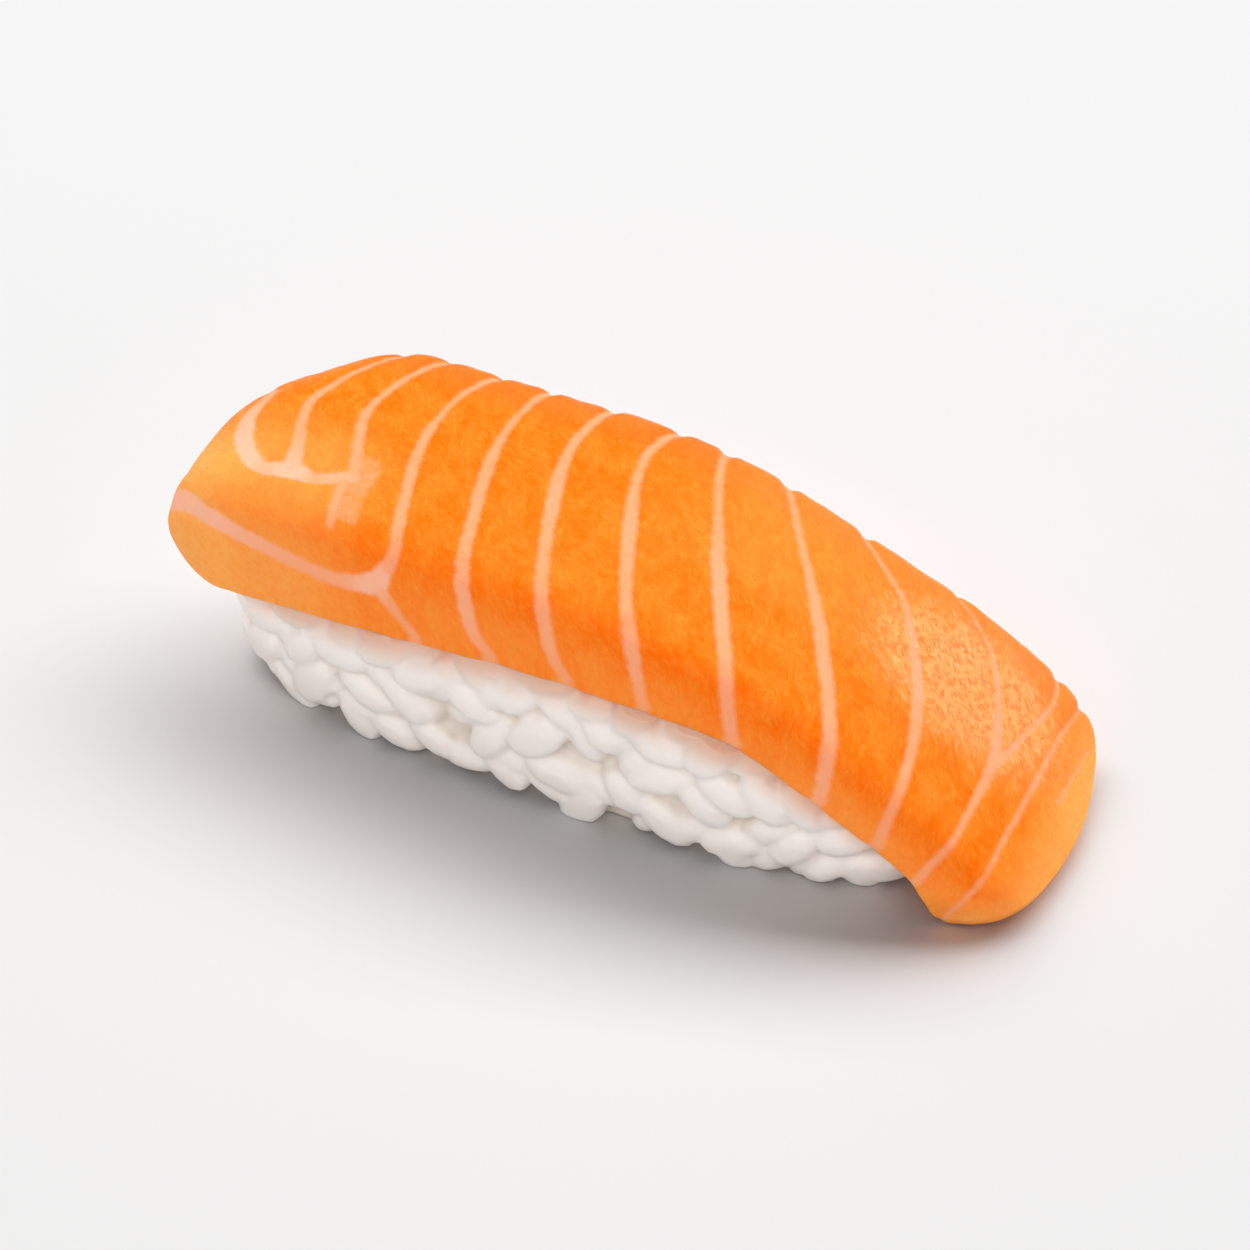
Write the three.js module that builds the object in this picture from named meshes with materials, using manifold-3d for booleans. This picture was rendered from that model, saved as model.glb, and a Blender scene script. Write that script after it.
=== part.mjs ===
// Salmon nigiri: a thick slice of raw salmon laid over an oblong mound of pressed rice.
// Millimetres, +Z up. +X runs along the piece to the end where the slice hangs down to the plate,
// +Y across to the far long side. The origin is the centre of the footprint, on the plate.

import * as THREE from 'three';
import { mergeVertices } from 'three/addons/utils/BufferGeometryUtils.js';
import Module from 'manifold-3d';

const { clamp, degToRad, lerp, smoothstep } = THREE.MathUtils;

const wasm = await Module();
wasm.setup();

// The slice laid out flat: its length, and its two halves on either side of the crown line
const SLICE_LENGTH = 92.5;
const NEAR_HALF = 18.8;
const NEAR_TAPER = 6.9;
const FAR_HALF = 23.4;
const TIP_FLARE = 2.7;
const TIP_FLARE_LENGTH = 10;
const CORNERS = { nearLeft: 5.8, nearRight: 3, farLeft: 16.9, farRight: 11.2 };
const NEAR_CORNER_POWER = 2;
const FAR_CORNER_POWER = 1.8;
const LEFT_CUT_SLANT = 6.6;
const LEFT_END_BULGE = { most: 3.5, at: 2.5, half: 16, fade: 6 };
const RIGHT_END_BULGE = 4.1;
const END_ROLL = { left: 1.9, right: 0.6, reach: 5 };
const EDGE_WALL_BULGE = 0.15;
const LEFT_WALL_BULGE = 0.3;

// How the slice bends along its length, in degrees and in millimetres from its left end
const TILT = 2;
const LEFT_DROOP = 3.9;
const LEFT_DROOP_END = 30;
const HANG_ANGLE = 46.7;
const HANG_START = 30.2;
const HANG_EASE = 0.94;
const HUMP = { height: 0.55, at: 36.9, half: 13.4 };
const STRIP_STEP = 0.2;
const STRIP_MARGIN = 16;

// How it bends across, from the crown line to each long edge
const CROWN_BEND = 5.3;
const NEAR_SHOULDER = { start: 7.8, width: 6.6, turn: 70 };
const FAR_SHOULDER = { start: 12.9, width: 6.7, turn: 73.8 };
const BEND_REFERENCE = 18;
const WIDEST = 28;

// Where the crown of the slice lies over the plate, and how far its two ends swing to the far side
const CROWN = { x: 5.0, y: -2.75, z: 27.3 };
const END_SWING = 2.6;

// Thickness of the flesh under the crown line, at the left end and at the hanging tip
const THICKNESS = 7;
const TIP_THICKNESS = 3.4;
const THINNING = { from: 45, to: 90 };
const UNDERSIDE_POWER = 3;
const RIM_START = 0.8;
const EDGE_THICKNESS = 0.9;
const THINNEST = 0.4;
const PLATE_GAP = 0.3;

// Sheets of fat across the slice. Each crosses the crown line at mid and runs to both long edges.
const FAT_SHEETS = [
  { mid: 18.8, lean: 5.5, belly: 2.3, curl: -4.7 },
  { mid: 25.9, lean: 3.3, belly: 2.6, curl: 0 },
  { mid: 33.7, lean: 4.5, belly: 3.1, curl: 0 },
  { mid: 42.0, lean: 6.6, belly: 3.2, curl: -1.0 },
  { mid: 51.4, lean: 7.8, belly: 1.9, curl: 1.1 },
  { mid: 62.7, lean: 9.3, belly: -0.9, curl: 1.0 },
  { mid: 73.9, lean: 6.5, belly: -4.0, curl: 3.7 },
  { mid: 83.3, lean: 1.8, belly: -3.9, curl: 5.0 },
  { mid: 88.8, lean: -0.4, belly: 1.5, curl: 0.3 },
];
const SHEET_REACH = 16;
const SHEET_SPAN = { far: -1, near: 1.2 };
const GROOVE_DEPTH = 0.45;
const GROOVE_HALF = 1;

// The mound of rice: a boat with squared ends, widest where the slice starts
const MOUND = { halfLength: 40, halfWidth: 14.5, height: 18.3, x: -2.7, y: -2.3 };
const MOUND_SQUARENESS = 3.15;
const SIDE_TUCK = { share: 0.09, power: 2.2 };
const END_TUCK = { share: 0.06, power: 2 };
const CORE_INSET = 1.8;
const CORE_TOP = 26;
const CONTACT_GAP = 0.3;
const RIM_CLEARANCE = 0.8;
const CUTTER_TOP = 60;
const PLATE = { side: 200, depth: 20 };

// Cooked short-grain rice
const GRAIN = { length: 7.4, width: 4.4, depth: 4 };
const GRAIN_SIZES = { smallest: 0.86, largest: 1.1 };
const GRAIN_SPACING = 3.9;
const GRAIN_TRIES = 9000;
const GRAIN_LOWEST = 1.2;
const GRAIN_BELOW_RIM = 0.6;
const GRAIN_TURN = 1.1;
const GRAIN_SINK = 0.2;
const TURN_STEP = 0.02;
const SEED = 20;

// Mesh steps
const LEFT_COLUMNS = 10;
const RIGHT_COLUMNS = 5;
const BAND_STOPS = [0, 0.16, 0.5, 0.84];
const ROWS = 18;
const WALL_STEPS = 3;
const SHEET_PASSES = 12;
const END_MARGIN = 0.02;
const OUTLINE_STEP = 0.002;
const CORE_SIDES = 56;
const CORE_RINGS = 7;

// ---- Slice of salmon ----

// A strip that bends in one plane: angleAt(d) is its slope in degrees at the distance d
function bentStrip(angleAt, from, to) {
  const stops = [{ along: 0, rise: 0 }];
  for (let d = from; d < to; d += STRIP_STEP) {
    const slope = degToRad(angleAt(d + STRIP_STEP / 2));
    const { along, rise } = stops.at(-1);
    stops.push({
      along: along + STRIP_STEP * Math.cos(slope),
      rise: rise + STRIP_STEP * Math.sin(slope),
    });
  }
  return (d) => {
    const place = Math.max((d - from) / STRIP_STEP, 0);
    const stop = Math.min(Math.floor(place), stops.length - 2);
    const before = stops[stop];
    const after = stops[stop + 1];
    const part = Math.min(place - stop, 1);
    return { along: lerp(before.along, after.along, part), rise: lerp(before.rise, after.rise, part) };
  };
}

function slopeAlong(s) {
  const droop = LEFT_DROOP * (1 - smoothstep(s, 0, LEFT_DROOP_END));
  const hang = HANG_ANGLE * smoothstep(s, HANG_START, SLICE_LENGTH) ** HANG_EASE;
  return TILT + droop - hang;
}

function slopeAcross(shoulder) {
  return (d) => CROWN_BEND * d / BEND_REFERENCE
    + shoulder.turn * smoothstep(d, shoulder.start, shoulder.start + shoulder.width);
}

const alongStrip = bentStrip(slopeAlong, -STRIP_MARGIN, SLICE_LENGTH + STRIP_MARGIN);
const nearStrip = bentStrip(slopeAcross(NEAR_SHOULDER), 0, WIDEST);
const farStrip = bentStrip(slopeAcross(FAR_SHOULDER), 0, WIDEST);
const middle = alongStrip(SLICE_LENGTH / 2);

// How far a round corner pulls a long edge in, at a distance from the end
function cornerCut(distance, radius, power) {
  const inside = radius - clamp(distance, 0, radius);
  return radius - (radius ** power - inside ** power) ** (1 / power);
}

// The long edge on one side before its corners are rounded, and those corners
function sideOf(part, side) {
  if (side >= 0) {
    return { edge: FAR_HALF, left: CORNERS.farLeft, right: CORNERS.farRight, power: FAR_CORNER_POWER };
  }
  const flare = clamp(1 - (1 - part) * SLICE_LENGTH / TIP_FLARE_LENGTH, 0, 1) ** 2;
  const edge = NEAR_HALF - NEAR_TAPER * (part - 0.5) + TIP_FLARE * flare;
  return { edge, left: CORNERS.nearLeft, right: CORNERS.nearRight, power: NEAR_CORNER_POWER };
}

function halfWidth(part, side) {
  const { edge, left, right, power } = sideOf(part, side);
  const fromLeft = part * SLICE_LENGTH;
  return edge - cornerCut(fromLeft, left, power) - cornerCut(SLICE_LENGTH - fromLeft, right, power);
}

// A place on the flat slice: part goes 0 to 1 along it, across goes -1 (near edge) to 1 (far edge)
function flatPlace(part, across) {
  const b = across * halfWidth(part, across);
  const slant = LEFT_CUT_SLANT * b / BEND_REFERENCE * (1 - part);
  const right = RIGHT_END_BULGE * (1 - (b / BEND_REFERENCE) ** 2) * part ** 2;
  const offMiddle = (b - LEFT_END_BULGE.at) / LEFT_END_BULGE.half;
  const left = LEFT_END_BULGE.most * Math.max(0, 1 - offMiddle ** 2) * (1 - part) ** LEFT_END_BULGE.fade;
  return { s: part * SLICE_LENGTH + slant + right - left, b };
}

function sheetLine({ mid, lean, belly, curl }, b) {
  const u = clamp(-b / SHEET_REACH, SHEET_SPAN.far, SHEET_SPAN.near);
  return mid + lean * u + belly * u ** 2 + curl * u ** 3;
}

// How far the upper face rolls down towards the two cut ends and their round corners
function endRoll(part, b) {
  const { edge, left, right, power } = sideOf(part, b);
  const roll = (most, fromEnd, radius) => {
    const round = Math.max(radius, END_ROLL.reach);
    const pastEnd = round - clamp(fromEnd, 0, round);
    const pastEdge = round - clamp(edge - Math.abs(b), 0, round);
    const inside = round - (pastEnd ** power + pastEdge ** power) ** (1 / power);
    return most * clamp(1 - inside / END_ROLL.reach, 0, 1) ** 2 * smoothstep(pastEnd, 0, round / 2);
  };
  const fromLeft = part * SLICE_LENGTH;
  return roll(END_ROLL.left, fromLeft, left) + roll(END_ROLL.right, SLICE_LENGTH - fromLeft, right);
}

function groove(s, b) {
  const depths = FAT_SHEETS.map((sheet) => Math.exp(-(((s - sheetLine(sheet, b)) / GROOVE_HALF) ** 2)));
  return GROOVE_DEPTH * Math.max(...depths);
}

// Depth of the underside below the crown line: it cups the rice, and is level along the long edges
function undersideDepth(s, b, part) {
  const strip = b < 0 ? nearStrip : farStrip;
  const rim = strip(halfWidth(part, b));
  const centre = lerp(THICKNESS, TIP_THICKNESS, smoothstep(s, THINNING.from, THINNING.to));
  const reach = Math.min(strip(Math.abs(b)).along / (rim.along * RIM_START), 1);
  return lerp(centre, rim.rise + EDGE_THICKNESS, reach ** UNDERSIDE_POWER);
}

// The place in space of a flat place; depth goes 0 (upper face) to 1 (underside)
function drape({ s, b }, part, depth, extra = 0) {
  const strip = (b < 0 ? nearStrip : farStrip)(Math.abs(b));
  const turned = degToRad(slopeAcross(b < 0 ? NEAR_SHOULDER : FAR_SHOULDER)(Math.abs(b)));
  const relief = groove(s, b) + endRoll(part, b);
  const y = Math.sign(b) * (strip.along - relief * Math.sin(turned));
  const top = -strip.rise - relief * Math.cos(turned);
  const bottom = Math.min(-undersideDepth(s, b, part), top - THINNEST);
  const n = lerp(top, bottom, depth) - extra;
  const along = alongStrip(s);
  const slope = degToRad(slopeAlong(s));
  const hump = HUMP.height * Math.exp(-(((s - HUMP.at) / HUMP.half) ** 2));
  const swing = END_SWING * (2 * s / SLICE_LENGTH - 1) ** 2;
  return new THREE.Vector3(
    CROWN.x + along.along - middle.along - Math.sin(slope) * n,
    CROWN.y + y + swing,
    Math.max(CROWN.z + along.rise - middle.rise + hump + Math.cos(slope) * n, PLATE_GAP - extra),
  );
}

// Outward direction of the slice's outline at one of its edge places, on the flat slice
function outward(part, across) {
  const onEnd = (part === 0 || part === 1) && Math.abs(across) < 1;
  if (onEnd) return { s: Math.sign(part - 0.5), b: 0 };
  const low = flatPlace(clamp(part - OUTLINE_STEP, 0, 1), across);
  const high = flatPlace(clamp(part + OUTLINE_STEP, 0, 1), across);
  const run = Math.hypot(high.s - low.s, high.b - low.b);
  return { s: -Math.sign(across) * (high.b - low.b) / run, b: Math.sign(across) * (high.s - low.s) / run };
}

// Columns of the mesh follow the sheets of fat, so that each sheet has its own groove
const COLUMNS = LEFT_COLUMNS + (FAT_SHEETS.length - 1) * BAND_STOPS.length + RIGHT_COLUMNS;

function columnPart(column, across) {
  const partOfSheet = (sheet) => {
    let part = sheet.mid / SLICE_LENGTH;
    for (let pass = 0; pass < SHEET_PASSES; pass += 1) {
      const { s, b } = flatPlace(part, across);
      part = clamp(part + (sheetLine(sheet, b) - s) / SLICE_LENGTH, END_MARGIN, 1 - END_MARGIN);
    }
    return part;
  };
  if (column <= LEFT_COLUMNS) {
    const turn = column / LEFT_COLUMNS * Math.PI / 2;
    return partOfSheet(FAT_SHEETS[0]) * (1 - Math.cos(turn));
  }
  const past = column - LEFT_COLUMNS;
  const band = Math.floor(past / BAND_STOPS.length);
  if (band < FAT_SHEETS.length - 1) {
    const stop = BAND_STOPS[past % BAND_STOPS.length];
    return lerp(partOfSheet(FAT_SHEETS[band]), partOfSheet(FAT_SHEETS[band + 1]), stop);
  }
  const turn = (COLUMNS - column) / RIGHT_COLUMNS * Math.PI / 2;
  return 1 - (1 - partOfSheet(FAT_SHEETS.at(-1))) * (1 - Math.cos(turn));
}

// A closed box mesh whose every vertex is moved by shape(column, across, depth)
function mouldedBox(shape) {
  const box = new THREE.BoxGeometry(1, 1, 1, COLUMNS, ROWS, WALL_STEPS);
  box.deleteAttribute('normal');
  box.deleteAttribute('uv');
  const closed = mergeVertices(box);
  const corner = closed.attributes.position;
  for (let i = 0; i < corner.count; i += 1) {
    const column = Math.round((corner.getX(i) + 0.5) * COLUMNS);
    const point = shape(column, corner.getY(i) * 2, 0.5 - corner.getZ(i));
    corner.setXYZ(i, point.x, point.y, point.z);
  }
  return closed;
}

function sliceGeometry() {
  return mouldedBox((column, across, depth) => {
    const part = columnPart(column, across);
    const place = flatPlace(part, across);
    const onWall = depth > 0 && depth < 1;
    if (onWall) {
      const wall = drape(place, part, 0).distanceTo(drape(place, part, 1));
      const share = part === 0 ? LEFT_WALL_BULGE : EDGE_WALL_BULGE;
      const bulge = share * wall * Math.sin(Math.PI * depth);
      const direction = outward(part, across);
      place.s += bulge * direction.s;
      place.b += bulge * direction.b;
    }
    return drape(place, part, depth);
  });
}

// ---- Mound of rice ----

function asManifold(geometry) {
  const bare = geometry.index ? geometry : mergeVertices(geometry);
  return new wasm.Manifold(new wasm.Mesh({
    numProp: 3,
    vertProperties: Float32Array.from(bare.attributes.position.array),
    triVerts: Uint32Array.from(bare.index.array),
  }));
}

function asGeometry(manifold) {
  const mesh = manifold.getMesh();
  const geometry = new THREE.BufferGeometry();
  geometry.setAttribute('position', new THREE.BufferAttribute(mesh.vertProperties, 3));
  geometry.setIndex(new THREE.BufferAttribute(mesh.triVerts, 1));
  geometry.computeVertexNormals();
  return geometry;
}

// Everything above the slice's underside, a little larger all round
function aboveTheRice() {
  return mouldedBox((column, across, depth) => {
    const part = columnPart(column, across);
    const place = flatPlace(part, across);
    if (Math.abs(across) === 1 || part === 0 || part === 1) {
      const direction = outward(part, across);
      place.s += RIM_CLEARANCE * direction.s;
      place.b += RIM_CLEARANCE * direction.b;
    }
    const point = drape(place, part, 1, CONTACT_GAP);
    point.z = lerp(CUTTER_TOP, point.z, depth);
    return point;
  });
}

// A place on the wall of the mound: turn goes round it, inset moves the wall inwards
function moundWall(turn, height, inset) {
  const rise = clamp(height / MOUND.height, 0, 1);
  const wide = MOUND.halfWidth * (1 - SIDE_TUCK.share * (1 - rise) ** SIDE_TUCK.power) - inset;
  const long = MOUND.halfLength * (1 - END_TUCK.share * (1 - rise) ** END_TUCK.power) - inset;
  const squared = (value) => Math.sign(value) * Math.abs(value) ** (2 / MOUND_SQUARENESS);
  return new THREE.Vector3(
    MOUND.x + long * squared(Math.cos(turn)),
    MOUND.y + wide * squared(Math.sin(turn)),
    height,
  );
}

function coreGeometry() {
  const drum = new THREE.CylinderGeometry(1, 1, 1, CORE_SIDES, CORE_RINGS);
  drum.deleteAttribute('normal');
  drum.deleteAttribute('uv');
  const closed = mergeVertices(drum);
  const corner = closed.attributes.position;
  for (let i = 0; i < corner.count; i += 1) {
    const height = (corner.getY(i) + 0.5) * CORE_TOP;
    const reach = Math.hypot(corner.getX(i), corner.getZ(i));
    const wall = moundWall(Math.atan2(-corner.getZ(i), corner.getX(i)), height, CORE_INSET);
    const point = new THREE.Vector3(MOUND.x, MOUND.y, height).lerp(wall, reach);
    corner.setXYZ(i, point.x, point.y, point.z);
  }
  return closed;
}

function randomDraws(seed) {
  let state = seed;
  return () => {
    state = (state + 0x6d2b79f5) | 0;
    let mixed = Math.imul(state ^ (state >>> 15), 1 | state);
    mixed = (mixed + Math.imul(mixed ^ (mixed >>> 7), 61 | mixed)) ^ mixed;
    return ((mixed ^ (mixed >>> 14)) >>> 0) / 2 ** 32;
  };
}

// The lower rim of the slice, which the grains stay under
function sliceRim() {
  const rim = [];
  for (let part = 0; part <= 1; part += 0.01) {
    for (const across of [-1, 1]) rim.push(drape(flatPlace(part, across), part, 1));
  }
  for (let across = -1; across <= 1; across += 0.1) {
    for (const part of [0, 1]) rim.push(drape(flatPlace(part, across), part, 1));
  }
  return rim;
}

function rimHeight(rim, x, y) {
  const apart = (point) => Math.hypot(point.x - x, point.y - y);
  return rim.reduce((nearest, point) => (apart(point) < apart(nearest) ? point : nearest)).z;
}

// Grains lie along the wall of the mound, no two nearer than the spacing
function grainGeometries() {
  const draw = randomDraws(SEED);
  const rim = sliceRim();
  const placed = [];
  const grains = [];
  for (let attempt = 0; attempt < GRAIN_TRIES; attempt += 1) {
    const turn = draw() * 2 * Math.PI;
    const height = lerp(GRAIN_LOWEST, MOUND.height, draw());
    const twist = GRAIN_TURN * (2 * draw() - 1);
    const size = lerp(GRAIN_SIZES.smallest, GRAIN_SIZES.largest, draw());
    const centre = moundWall(turn, height, CORE_INSET + GRAIN_SINK);
    const covered = height > rimHeight(rim, centre.x, centre.y) - GRAIN_BELOW_RIM;
    const crowded = placed.some((other) => other.distanceTo(centre) < GRAIN_SPACING);
    if (covered || crowded) continue;
    placed.push(centre);

    const ahead = moundWall(turn + TURN_STEP, height, CORE_INSET);
    const along = ahead.sub(moundWall(turn - TURN_STEP, height, CORE_INSET)).normalize();
    const out = new THREE.Vector3(along.y, -along.x, 0);
    along.applyAxisAngle(out, twist);
    const axes = new THREE.Matrix4().makeBasis(along, new THREE.Vector3().crossVectors(out, along), out);
    axes.scale(new THREE.Vector3(GRAIN.length, GRAIN.width, GRAIN.depth).multiplyScalar(size / 2));
    axes.setPosition(centre);
    const grain = new THREE.OctahedronGeometry(1, 1);
    grain.deleteAttribute('normal');
    grain.deleteAttribute('uv');
    grains.push(mergeVertices(grain).applyMatrix4(axes));
  }
  return grains;
}

function riceGeometry() {
  const plate = new THREE.BoxGeometry(PLATE.side, PLATE.side, PLATE.depth);
  plate.translate(0, 0, -PLATE.depth / 2);
  plate.deleteAttribute('normal');
  plate.deleteAttribute('uv');
  const joined = wasm.Manifold.union([coreGeometry(), ...grainGeometries()].map(asManifold));
  const cut = joined.subtract(asManifold(aboveTheRice())).subtract(asManifold(mergeVertices(plate)));
  const bodies = cut.decompose().sort((one, other) => other.volume() - one.volume());
  return asGeometry(bodies[0]);
}

// ---- The piece ----

const salmonFlesh = new THREE.MeshStandardMaterial({ color: 0xfa8432, roughness: 0.35, metalness: 0 });
const cookedRice = new THREE.MeshStandardMaterial({ color: 0xeee9e2, roughness: 0.55, metalness: 0 });

const salmon = new THREE.Mesh(sliceGeometry(), salmonFlesh);
salmon.name = 'salmon_slice';
salmon.geometry.computeVertexNormals();

const rice = new THREE.Mesh(riceGeometry(), cookedRice);
rice.name = 'rice_mound';

const nigiri = new THREE.Group();
nigiri.add(salmon, rice);

export default nigiri;
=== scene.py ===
from math import cos, pi, radians, sin, tau

import bmesh
import bpy
import numpy as np
from mathutils import Matrix, Vector, noise
from mathutils.bvhtree import BVHTree


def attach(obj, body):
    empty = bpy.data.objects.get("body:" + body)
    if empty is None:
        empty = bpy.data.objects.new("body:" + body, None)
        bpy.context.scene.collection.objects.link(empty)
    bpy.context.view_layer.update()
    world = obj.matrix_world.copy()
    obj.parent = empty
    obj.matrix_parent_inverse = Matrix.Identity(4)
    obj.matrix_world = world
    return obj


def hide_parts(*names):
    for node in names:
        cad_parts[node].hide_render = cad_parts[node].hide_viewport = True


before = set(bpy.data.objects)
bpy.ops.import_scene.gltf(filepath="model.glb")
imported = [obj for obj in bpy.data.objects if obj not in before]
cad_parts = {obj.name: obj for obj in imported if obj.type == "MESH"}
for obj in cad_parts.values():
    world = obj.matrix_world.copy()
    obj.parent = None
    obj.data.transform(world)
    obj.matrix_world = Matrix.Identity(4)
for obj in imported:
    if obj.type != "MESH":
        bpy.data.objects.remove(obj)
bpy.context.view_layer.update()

MM = 0.001


# ---- Camera ----
# A long lens looks down on the near long side, turned a little towards the hanging end of the
# slice.

VIEW_TURN = radians(25.5)
VIEW_RISE = radians(45)
VIEW_DISTANCE = 343.8 * MM
LOOK_AT = Vector((-1.04, 0.02, 12)) * MM
LENS_MM = 100
SENSOR_MM = 36

towards_viewer = Vector((
    sin(VIEW_TURN) * cos(VIEW_RISE),
    -cos(VIEW_TURN) * cos(VIEW_RISE),
    sin(VIEW_RISE),
))
camera = bpy.data.objects.new("camera", bpy.data.cameras.new("camera"))
camera.data.lens = LENS_MM
camera.data.sensor_width = SENSOR_MM
camera.data.clip_start = 10 * MM
camera.location = LOOK_AT + VIEW_DISTANCE * towards_viewer
camera.rotation_euler = towards_viewer.to_track_quat("Z", "Y").to_euler()
bpy.context.scene.collection.objects.link(camera)
bpy.context.scene.camera = camera


# ---- Studio ----
# A wide white floor, one large soft light high behind the piece, and a dim white surround. Two more
# lights are kept off the floor: one gives the hanging end its sheen and one fills in the front.
# Lengths are in metres and power is in watts.

FLOOR_HALF = 4
FLOOR_WHITE = 0.94
SURROUND = 0.2
KEY = {"towards": (-0.15, 0.5, 0.85), "away": 2.5, "wide": 4.8, "high": 1.3, "power": 85}
SHEEN = {"towards": (0.57, 0.74, 0.36), "away": 2.5, "wide": 0.8, "high": 0.8, "power": 19}
FILL = {"towards": (0.12, -0.76, 0.66), "away": 2.5, "wide": 4.0, "high": 2.0, "power": 53}


def plug(tree, value, socket):
    """Links a socket to another node's output, or sets it to a value"""
    if isinstance(value, bpy.types.NodeSocket):
        tree.links.new(value, socket)
    else:
        socket.default_value = value


def add_node(tree, kind, settings=None, **sockets):
    """A new node; each socket is named with underscores for its spaces"""
    made = tree.nodes.new(kind)
    for name, value in (settings or {}).items():
        setattr(made, name, value)
    for name, value in sockets.items():
        plug(tree, value, made.inputs[name.replace("_", " ")])
    return made


def new_finish(name):
    """A material with no nodes yet, and its node tree"""
    finish = bpy.data.materials.new(name)
    finish.use_nodes = True
    finish.node_tree.nodes.clear()
    return finish, finish.node_tree


def show(tree, shader):
    """Joins a shader to the material's output"""
    output = tree.nodes.new("ShaderNodeOutputMaterial")
    tree.links.new(shader.outputs[0], output.inputs["Surface"])


def as_object(name, shape, finish):
    """An object of a bmesh, smooth shaded, with one finish"""
    mesh = bpy.data.meshes.new(name)
    shape.to_mesh(mesh)
    shape.free()
    mesh.shade_smooth()
    mesh.materials.append(finish)
    made = bpy.data.objects.new(name, mesh)
    bpy.context.scene.collection.objects.link(made)
    return made


piece_only = bpy.data.collections.new("lit by the lights kept off the floor")


def softbox(name, towards, away, wide, high, power):
    lamp = bpy.data.lights.new(name, "AREA")
    lamp.shape = "RECTANGLE"
    lamp.size = wide
    lamp.size_y = high
    lamp.energy = power
    made = bpy.data.objects.new(name, lamp)
    direction = Vector(towards).normalized()
    made.location = direction * away
    made.rotation_euler = direction.to_track_quat("Z", "Y").to_euler()
    bpy.context.scene.collection.objects.link(made)
    return made


paper, tree = new_finish("white paper")
show(tree, add_node(
    tree, "ShaderNodeBsdfDiffuse",
    Color=(FLOOR_WHITE, FLOOR_WHITE, FLOOR_WHITE, 1),
))
sheet = bmesh.new()
bmesh.ops.create_grid(sheet, x_segments=1, y_segments=1, size=FLOOR_HALF)
floor = as_object("floor", sheet, paper)

softbox("key light", **KEY)
for lamp in (softbox("sheen light", **SHEEN), softbox("fill light", **FILL)):
    lamp.light_linking.receiver_collection = piece_only

surround = bpy.data.worlds.new("surround")
surround.use_nodes = True
surround.node_tree.nodes["Background"].inputs["Color"].default_value = (1, 1, 1, 1)
surround.node_tree.nodes["Background"].inputs["Strength"].default_value = SURROUND
bpy.context.scene.world = surround
bpy.context.scene.view_settings.view_transform = "Standard"


# ---- Slice of salmon ----
# One thick slice cut across a side of salmon: bands of soft orange flesh with a sheet of pale fat
# between each two. It is laid over the rice, takes the mound's shape and hangs down at one end.
# Lengths are in millimetres and angles in degrees. A flat place on it is s, along it from the left
# end, and b, across it: negative on the near side of its crown line and positive on the far side.

# Outline of the flat slice, and how its upper face and its cut wall are rounded
LENGTH = 92.5
NEAR_HALF = 18.4
NEAR_TAPER = 6.9
TIP_FLARE = 3
TIP_FLARE_LENGTH = 10
FAR_HALF = 23.4
NEAR_CORNERS = {"left": 6.5, "right": 2, "power": 2.4}
NEAR_DIP = {"deep": 1.2, "at": 0.67, "half": 0.1}
FAR_CORNERS = {"left": 17.8, "right": 12.5, "power": 1.8}
LEFT_CUT = {
    "at": -3.1, "far bend": 0.0135, "far from": -5,
    "near jut": 3.3, "near": (9, 20), "fade": 4,
}
RIGHT_END_BULGE = {"most": 4, "half": 15.5}
END_ROLL = {"left": 1.5, "right": 0.6, "reach": 5}
WALL_BULGE = {"left": 0.3, "elsewhere": 0.15}   # shares of the wall's height

# How it bends over the mound: slopes along it, a hump and dips in the ridge, and its two shoulders
TILT = 2
LEFT_DROOP = 3.9
LEFT_DROOP_END = 30
HANG_ANGLE = 46.7
HANG_START = 30.2
HANG_EASE = 0.94
HUMP = {"height": 0.55, "at": 36.9, "half": 13.4}
FAR_DIPS = [{"slope": 0.1, "at": 63, "half": 13}, {"slope": 0.1, "at": 0, "half": 7}]
CROWN_BEND = 5.3
NEAR_SHOULDER = {"start": 7.8, "width": 6.6, "turn": 70}
FAR_SHOULDER = {"start": 12.9, "width": 6.7, "turn": 73.8}
BEND_REFERENCE = 18
CROWN = {"x": 5.0, "y": -2.75, "z": 27.3}
END_SWING = 2.6

# From its upper face to its underside
THICKNESS = 7
TIP_THICKNESS = 3.4
THINNING = {"from": 45, "to": 90}
UNDERSIDE_POWER = 3
RIM_START = 0.8
EDGE_THICKNESS = 0.9
THINNEST = 0.4
PLATE_GAP = 0.3

# Steps of the bent strips and of the mesh
STRIP_STEP = 0.2
STRIP_MARGIN = 16
WIDEST = 28
COLUMNS = 320
ROWS = 128
WALL_STEPS = 7
END_CROWDING = {"share": 0.9, "reach": 3, "steps": 20}
OUTLINE_STEP = 0.002

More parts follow.
